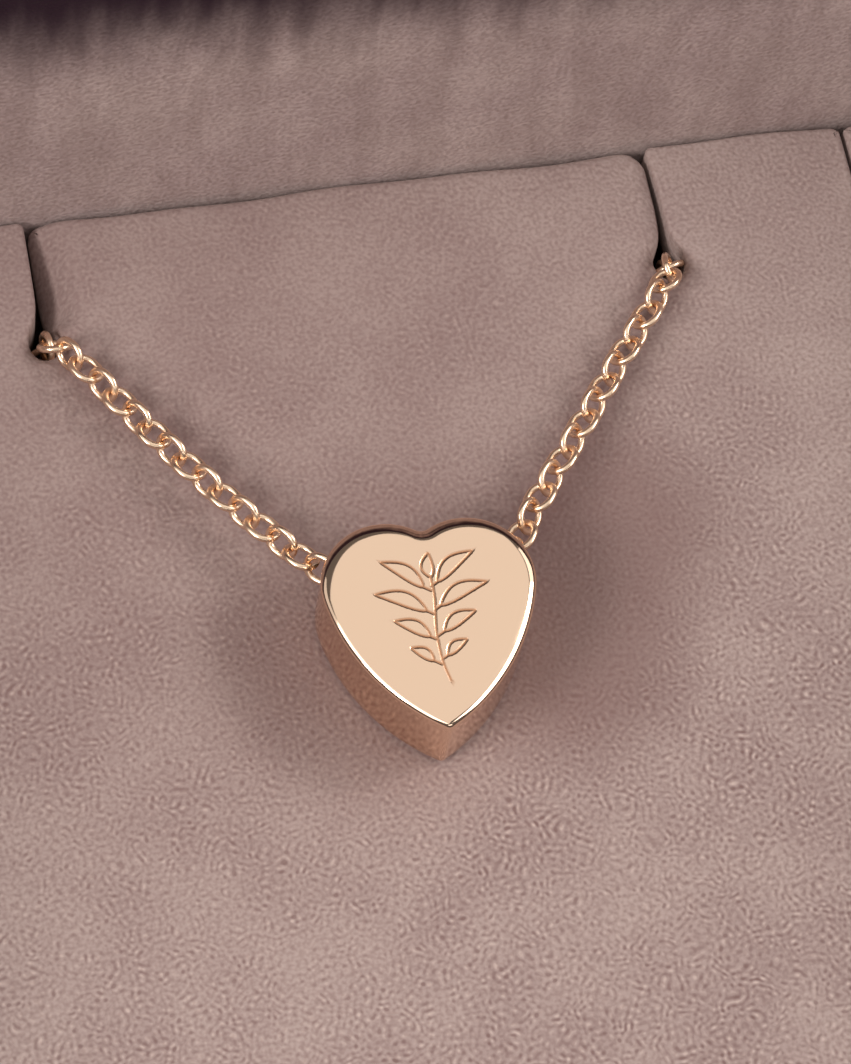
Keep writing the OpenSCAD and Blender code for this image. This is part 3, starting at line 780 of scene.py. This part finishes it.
def leaf(base, angle, length, width):
    """Outline of one leaf, as two strokes."""
    a = math.radians(angle)
    along, across = np.array((math.cos(a), math.sin(a))), np.array((-math.sin(a), math.cos(a)))
    t = np.linspace(0, 1, 22)[:, None]
    spine = np.array(base) + along * length * t + across * length * 0.10 * np.sin(math.pi * t)
    belly = across * width * np.sin(math.pi * t ** 0.85) ** 0.9
    return [spine + belly, spine - belly]


def leaf_spray():
    """A stem with leaves in pairs and one at its end, all drawn as outlines."""
    stem = smooth_line([(0.32, 2.5), (0.05, 3.6), (-0.05, 5.2), (0.1, 7.0), (0.05, 8.1)], 10)
    strokes = [stem] + leaf((0.05, 8.1), 88, 1.35, 0.3)
    for height, length, width, angle in ((3.6, 1.3, 0.26, 36), (4.9, 1.95, 0.33, 30),
                                         (6.3, 2.7, 0.38, 24), (7.6, 2.5, 0.36, 38)):
        for side in (1, -1):
            base = (0.02 * side, height + (0.12 if side > 0 else -0.12))
            shapes = leaf((0, 0), angle, length, width)
            stalk_end = (base[0] + 0.35 * side, base[1] + 0.12)
            strokes += [s * (side, 1) + stalk_end for s in shapes]
            strokes.append(np.array([(base[0], base[1] - 0.1), stalk_end]))
    return strokes


def along_stroke(stroke, step):
    """The stroke's points at even steps, with unit vectors across it."""
    run = np.concatenate([[0], np.cumsum(np.linalg.norm(np.diff(stroke, axis=0), axis=1))])
    s = np.linspace(0, run[-1], max(2, round(run[-1] / step) + 1))
    p = np.column_stack([np.interp(s, run, stroke[:, k]) for k in (0, 1)])
    d = np.gradient(p, axis=0)
    d /= np.linalg.norm(d, axis=1)[:, None]
    return p, np.column_stack([-d[:, 1], d[:, 0]])


strokes = leaf_spray()


def gap_to_strokes(points):
    """Distance from each point to the nearest engraved stroke."""
    return np.min([gap_to(points, stroke) for stroke in strokes], axis=0)


stroke_rows = []
for stroke in strokes:
    p, across = along_stroke(stroke, 0.07)
    for offset in (0, 0.3, -0.3, 0.6, -0.6, 0.85, -0.85, 1.02, -1.02, 1.3, -1.3):
        stroke_rows.append(p + across * offset * STROKE_HALF)
heart_rolls = np.radians(np.linspace(0, 90, 15))
back_rolls = np.radians(np.linspace(0, 90, 7))
wall_low, wall_high = BACK_R, HEART_T - FACE_ROLL_H
profile = [(BACK_R * (1 - math.sin(a)), BACK_R * (1 - math.cos(a))) for a in back_rolls]
profile += [(0, wall_low + (wall_high - wall_low) * t) for t in np.linspace(0, 1, 9)[1:-1]]
profile += [(FACE_ROLL_W * (1 - math.cos(a)), HEART_T - FACE_ROLL_H * (1 - math.sin(a)))
            for a in heart_rolls]
profile.append((FACE_ROLL_W + 0.06, HEART_T))
heart_rings = []
for inset, z in profile:
    line = heart_outline(inset)
    heart_rings.append(np.column_stack([line, np.full(len(line), z)]))
face_ring = heart_rings[-1][:, :2]
heart_count = len(face_ring)
closed_face = np.vstack([face_ring, face_ring[:1]])
candidates = np.vstack(stroke_rows)
candidates = candidates[inside(candidates, face_ring)]
candidates = candidates[gap_to(candidates, closed_face) > 0.08]
_, first_seen = np.unique(np.round(candidates / 0.03), axis=0, return_index=True)
candidates = candidates[np.sort(first_seen)]
ground_points = lattice(-5, 5, 0.5, 11.5, 0.3)
ground_points = ground_points[inside(ground_points, face_ring)]
ground_points = ground_points[gap_to(ground_points, closed_face) > 0.16]
ground_points = ground_points[gap_to_strokes(ground_points) > 1.3 * STROKE_HALF + 0.1]
face_points = np.vstack([candidates, ground_points])
cut = np.clip(1 - (gap_to_strokes(face_points) / STROKE_HALF) ** 2, 0, 1) ** 1.5
face_z = HEART_T - STROKE_DEPTH * cut
heart_points = [tuple(p) for ring in heart_rings for p in ring]
heart_base = (len(heart_rings) - 1) * heart_count
heart_points += [(x, y, z) for (x, y), z in zip(face_points, face_z)]
heart_faces = bridge(heart_rings, (True, False))
heart_faces += [tuple(heart_base + i for i in f) for f in fill(face_ring, face_points)]


def engraved_gold():
    """The plated heart: a polished mirror, but frosted and browner in the graver's cuts."""
    material = rose_gold("rose-gold plated polished heart", 0.08, 0.0012, 2.4)
    tree = material.node_tree
    shader = tree.nodes["Principled BSDF"]
    shine = shader.inputs["Roughness"].links[0].from_socket
    depth = add_node(tree, "ShaderNodeAttribute", {"attribute_name": "engraving"}, {})
    frosted = add_node(tree, "ShaderNodeMix", {"data_type": "FLOAT"},
                       {"Factor_Float": depth.outputs["Fac"], "A_Float": shine, "B_Float": 0.5})
    colour = add_node(tree, "ShaderNodeMix", {"data_type": "RGBA"},
                      {"Factor_Float": depth.outputs["Fac"],
                       "A_Color": linear("#F7DAC0"), "B_Color": linear("#C79470")})
    tree.links.new(frosted.outputs["Result"], shader.inputs["Roughness"])
    tree.links.new(colour.outputs["Result"], shader.inputs["Base Color"])
    return material


def drill(name, side):
    """A cylinder along one half of the channel, to cut it out."""
    steps = 64
    reach = HEART_W
    rows = [[(x, CHANNEL_D / 2 * math.cos(a), CHANNEL_D / 2 * math.sin(a))
             for a in np.linspace(0, 2 * math.pi, steps, endpoint=False)]
            for x in (-CHANNEL_D / 4, reach)]
    cutter = add_mesh(name, [p for row in rows for p in row], bridge(rows), [])
    turn = CHANNEL_TILT if side > 0 else math.pi - CHANNEL_TILT
    cutter.data.transform(Matrix.Translation(Vector((0, CHANNEL_H, HEART_T / 2)) * MM)
                          @ Matrix.Rotation(turn, 4, "Z"))
    return cutter


heart = add_mesh("heart_body", heart_points, heart_faces, [engraved_gold()])
engraving = heart.data.attributes.new("engraving", "FLOAT", "POINT")
engraving.data.foreach_set("value", np.concatenate(
    [np.zeros(len(heart_points) - len(cut)), cut]).astype(np.float32))
drills = [drill("drill_right", 1), drill("drill_left", -1)]
for cutter in drills:
    bore = heart.modifiers.new("bore", "BOOLEAN")
    bore.operation = "DIFFERENCE"
    bore.solver = "EXACT"
    bore.object = cutter
heart_mesh = bpy.data.meshes.new_from_object(
    heart.evaluated_get(bpy.context.evaluated_depsgraph_get()))
heart.modifiers.clear()
heart.data = heart_mesh
for cutter in drills:
    bpy.data.objects.remove(cutter)
for vertex in heart_mesh.vertices:
    x, y, z = vertex.co / MM
    if z > HEART_T - 1.2 * STROKE_DEPTH:
        vertex.co.z += crown(x, y) * MM
heart_place = Vector((HEART_X, SLIT_Y - HEART_DROP, PAD_TOP + SEAT)) * MM
heart_mesh.transform(Matrix.Translation(heart_place) @ Matrix.Rotation(HEART_TURN, 4, "Z"))
heart_mesh.set_sharp_from_angle(angle=math.radians(50))
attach(heart, "root")
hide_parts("heart")

# Studio light
# A wide soft box overhead fills the heart's face. A long one and a small lamp at each side
# draw the soft shadows and the glints on the chain, a low one at the front and two cards at
# the back lift the walls, and the room is dim and even.
HEART_MIDDLE = Vector((0, 32, 20)) * MM


def soft_box(name, direction, distance, width, height, power, colour="#FFF8F2"):
    """One rectangular soft box that faces the heart."""
    light = bpy.data.lights.new(name, "AREA")
    light.shape = "RECTANGLE"
    light.size, light.size_y = width * MM, height * MM
    light.energy = power
    light.color = linear(colour)[:3]
    lamp = bpy.data.objects.new(name, light)
    bpy.context.scene.collection.objects.link(lamp)
    away = Vector(direction).normalized()
    lamp.matrix_world = (Matrix.Translation(HEART_MIDDLE + away * distance * MM)
                         @ away.to_track_quat("Z", "Y").to_matrix().to_4x4())


soft_box("overhead", (0.05, 0.02, 1.0), 520, 620, 900, 1.33, "#FFF8F0")
soft_box("left", (-0.70, -0.26, 0.65), 450, 380, 170, 0.55)
soft_box("left lamp", (-0.74, -0.30, 0.60), 450, 150, 110, 1.0)
soft_box("right", (0.80, -0.14, 0.57), 380, 300, 150, 0.65)
soft_box("right lamp", (0.74, 0.10, 0.62), 450, 60, 60, 0.3)
soft_box("left card", (-0.80, 0.36, 0.52), 450, 280, 220, 0.12)
soft_box("right card", (0.84, 0.34, 0.50), 450, 280, 220, 0.27)
soft_box("front", (0.05, -0.80, 0.60), 560, 600, 110, 0.35)
world = bpy.data.worlds.new("room")
world.use_nodes = True
world.node_tree.nodes["Background"].inputs["Color"].default_value = linear("#E9DFDA")
world.node_tree.nodes["Background"].inputs["Strength"].default_value = 0.16
bpy.context.scene.world = world
bpy.context.scene.view_settings.view_transform = "Standard"
